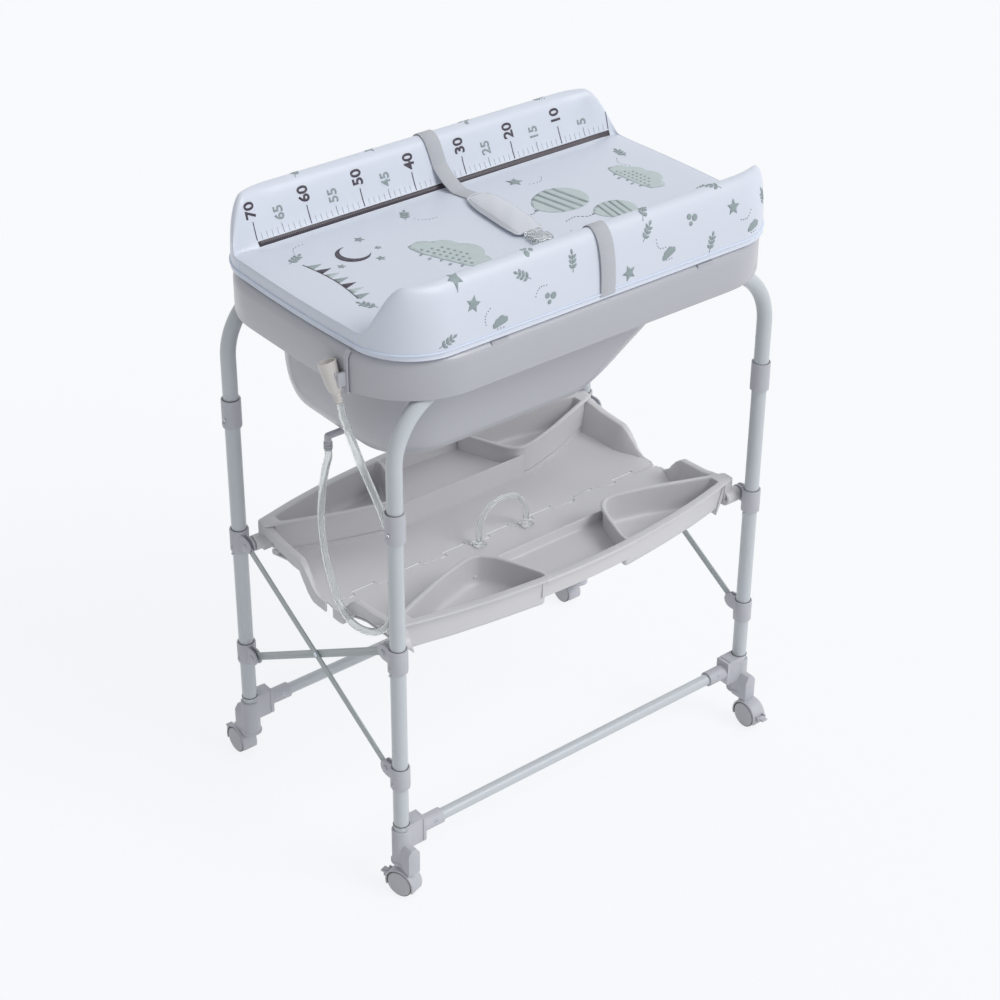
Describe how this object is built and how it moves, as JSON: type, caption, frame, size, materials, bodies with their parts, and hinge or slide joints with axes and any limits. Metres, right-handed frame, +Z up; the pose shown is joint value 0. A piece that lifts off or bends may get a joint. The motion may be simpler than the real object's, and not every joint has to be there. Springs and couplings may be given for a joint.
{
  "type": "folding changing table with bathtub",
  "caption": "Folding changing table on casters: two bent-tube legs with cross braces carry a deep plastic bathtub, a padded changing mat with a strap and a hinged storage tray.",
  "frame": {"origin": "on the floor, under the middle of the four legs", "axes": "+X to the right along the long side, -X the drain end; -Y the front; +Z up"},
  "size_m": [0.8183, 0.58, 1.0606],
  "materials": {
    "frame_paint": "satin powder coat",
    "brace_paint": "satin",
    "rivet_steel": "zinc plated",
    "fitting_plastic": "fine texture",
    "tray_plastic": "satin",
    "tub_plastic": "semi gloss",
    "clear_plastic": "clear",
    "mat_cover": "coated, semi gloss",
    "webbing": "woven",
    "wheel_plastic": "satin"
  },
  "bodies": {
    "front_frame": {"front_upper_frame": "frame_paint", "front_rail": "frame_paint", "leg_front_left": "frame_paint", "joint_collar_front_left": "fitting_plastic", "lower_bracket_front_left": "fitting_plastic", "foot_front_left": "fitting_plastic", "rail_sleeve_front_left": "fitting_plastic", "leg_front_right": "frame_paint", "joint_collar_front_right": "fitting_plastic", "lower_bracket_front_right": "fitting_plastic", "foot_front_right": "fitting_plastic", "rail_sleeve_front_right": "fitting_plastic"},
    "front_sliders": {"sliding_bracket_front_left": "fitting_plastic", "sliding_bracket_front_right": "fitting_plastic"},
    "front_tray": {"tray_front_half": "tray_plastic", "tray_lift_loop": "clear_plastic"},
    "rear_frame": {"rear_upper_frame": "frame_paint", "rear_rail": "frame_paint", "leg_rear_left": "frame_paint", "joint_collar_rear_left": "fitting_plastic", "lower_bracket_rear_left": "fitting_plastic", "foot_rear_left": "fitting_plastic", "rail_sleeve_rear_left": "fitting_plastic", "leg_rear_right": "frame_paint", "joint_collar_rear_right": "fitting_plastic", "lower_bracket_rear_right": "fitting_plastic", "foot_rear_right": "fitting_plastic", "rail_sleeve_rear_right": "fitting_plastic"},
    "rear_sliders": {"sliding_bracket_rear_left": "fitting_plastic", "sliding_bracket_rear_right": "fitting_plastic"},
    "rear_tray": {"tray_rear_half": "tray_plastic"},
    "braces_outer": {"brace_outer_left": "brace_paint", "brace_outer_right": "brace_paint", "brace_rivet_left": "rivet_steel", "brace_rivet_right": "rivet_steel"},
    "braces_inner": {"brace_inner_left": "brace_paint", "brace_inner_right": "brace_paint"},
    "tub": {"bathtub": "tub_plastic", "drain_plug": "fitting_plastic", "drain_elbow": "fitting_plastic", "drain_hose": "clear_plastic", "hose_cup": "fitting_plastic", "hose_hook": "fitting_plastic"},
    "mat": {"changing_mat": "mat_cover", "strap_back": "webbing", "strap_pad": "webbing", "strap_buckle": "clear_plastic", "strap_front": "webbing"},
    "caster_front_left": {"caster_front_left_hood": "fitting_plastic"},
    "wheels_front_left": {"caster_front_left_wheels": "wheel_plastic"},
    "lever_front_left": {"caster_front_left_brake_lever": "fitting_plastic"},
    "caster_front_right": {"caster_front_right_hood": "fitting_plastic"},
    "wheels_front_right": {"caster_front_right_wheels": "wheel_plastic"},
    "lever_front_right": {"caster_front_right_brake_lever": "fitting_plastic"},
    "caster_rear_left": {"caster_rear_left_hood": "fitting_plastic"},
    "wheels_rear_left": {"caster_rear_left_wheels": "wheel_plastic"},
    "lever_rear_left": {"caster_rear_left_brake_lever": "fitting_plastic"},
    "caster_rear_right": {"caster_rear_right_hood": "fitting_plastic"},
    "wheels_rear_right": {"caster_rear_right_wheels": "wheel_plastic"},
    "lever_rear_right": {"caster_rear_right_brake_lever": "fitting_plastic"}
  },
  "joints": [
    {"name": "frame_fold", "type": "hinge", "parent": "front_frame", "child": "braces_outer", "pos_m": [0, -0.187, 0.23], "axis": [1, 0, 0], "range_deg": [0, 40]},
    {"name": "brace_scissor", "type": "hinge", "parent": "braces_outer", "child": "braces_inner", "pos_m": [0, 0, 0.341], "axis": [1, 0, 0], "range_deg": [-80.01, 0]},
    {"name": "rear_leg_pivot", "type": "hinge", "parent": "braces_inner", "child": "rear_frame", "pos_m": [0, 0.187, 0.23], "axis": [1, 0, 0], "range_deg": [0, 40.01]},
    {"name": "front_slider_pivot", "type": "hinge", "parent": "braces_inner", "child": "front_sliders", "pos_m": [0, -0.187, 0.452], "axis": [1, 0, 0], "range_deg": [0, 40.01]},
    {"name": "rear_slider_pivot", "type": "hinge", "parent": "braces_outer", "child": "rear_sliders", "pos_m": [0, 0.187, 0.452], "axis": [1, 0, 0], "range_deg": [-40.01, 0]},
    {"name": "front_tray_pivot", "type": "hinge", "parent": "front_sliders", "child": "front_tray", "pos_m": [0, -0.187, 0.452], "axis": [1, 0, 0], "range_deg": [-88.01, 0]},
    {"name": "rear_tray_pivot", "type": "hinge", "parent": "rear_sliders", "child": "rear_tray", "pos_m": [0, 0.187, 0.452], "axis": [1, 0, 0], "range_deg": [0, 88.01]},
    {"name": "tub_lift", "type": "slide", "parent": "front_frame", "child": "tub", "axis": [0, 0, 1], "range_m": [0, 1.3285]},
    {"name": "mat_lift", "type": "slide", "parent": "tub", "child": "mat", "axis": [0, 0, 1], "range_m": [0, 0.25]},
    {"name": "caster_front_left_swivel", "type": "hinge", "parent": "front_frame", "child": "caster_front_left", "pos_m": [-0.37, -0.236, 0.068], "axis": [0, 0, 1], "continuous": true},
    {"name": "caster_front_left_roll", "type": "hinge", "parent": "caster_front_left", "child": "wheels_front_left", "pos_m": [-0.37397, -0.22362, 0.0235], "axis": [0.9523, 0.3051, 0], "continuous": true},
    {"name": "caster_front_left_brake", "type": "hinge", "parent": "caster_front_left", "child": "lever_front_left", "pos_m": [-0.3833, -0.19448, 0.028], "axis": [0.9523, 0.3051, 0], "range_deg": [-22, 0]},
    {"name": "caster_front_right_swivel", "type": "hinge", "parent": "front_frame", "child": "caster_front_right", "pos_m": [0.37, -0.236, 0.068], "axis": [0, 0, 1], "continuous": true},
    {"name": "caster_front_right_roll", "type": "hinge", "parent": "caster_front_right", "child": "wheels_front_right", "pos_m": [0.37, -0.249, 0.0235], "axis": [-1, 0, 0], "continuous": true},
    {"name": "caster_front_right_brake", "type": "hinge", "parent": "caster_front_right", "child": "lever_front_right", "pos_m": [0.37, -0.2796, 0.028], "axis": [-1, 0, 0], "range_deg": [-22, 0]},
    {"name": "caster_rear_left_swivel", "type": "hinge", "parent": "rear_frame", "child": "caster_rear_left", "pos_m": [-0.37, 0.236, 0.068], "axis": [0, 0, 1], "continuous": true},
    {"name": "caster_rear_left_roll", "type": "hinge", "parent": "caster_rear_left", "child": "wheels_rear_left", "pos_m": [-0.37, 0.249, 0.0235], "axis": [1, 0, 0], "continuous": true},
    {"name": "caster_rear_left_brake", "type": "hinge", "parent": "caster_rear_left", "child": "lever_rear_left", "pos_m": [-0.37, 0.2796, 0.028], "axis": [1, 0, 0], "range_deg": [-22, 0]},
    {"name": "caster_rear_right_swivel", "type": "hinge", "parent": "rear_frame", "child": "caster_rear_right", "pos_m": [0.37, 0.236, 0.068], "axis": [0, 0, 1], "continuous": true},
    {"name": "caster_rear_right_roll", "type": "hinge", "parent": "caster_rear_right", "child": "wheels_rear_right", "pos_m": [0.37, 0.249, 0.0235], "axis": [1, 0, 0], "continuous": true},
    {"name": "caster_rear_right_brake", "type": "hinge", "parent": "caster_rear_right", "child": "lever_rear_right", "pos_m": [0.37, 0.2796, 0.028], "axis": [1, 0, 0], "range_deg": [-22, 0]}
  ],
  "couplings": [
    {"joint": "brace_scissor", "follows": "frame_fold", "ratio": -2},
    {"joint": "rear_leg_pivot", "follows": "frame_fold", "ratio": 1},
    {"joint": "front_slider_pivot", "follows": "frame_fold", "ratio": 1},
    {"joint": "rear_slider_pivot", "follows": "frame_fold", "ratio": -1},
    {"joint": "front_tray_pivot", "follows": "frame_fold", "ratio": -2.2},
    {"joint": "rear_tray_pivot", "follows": "frame_fold", "ratio": 2.2},
    {"joint": "tub_lift", "follows": "frame_fold", "m_per_rad": 1.9}
  ]
}
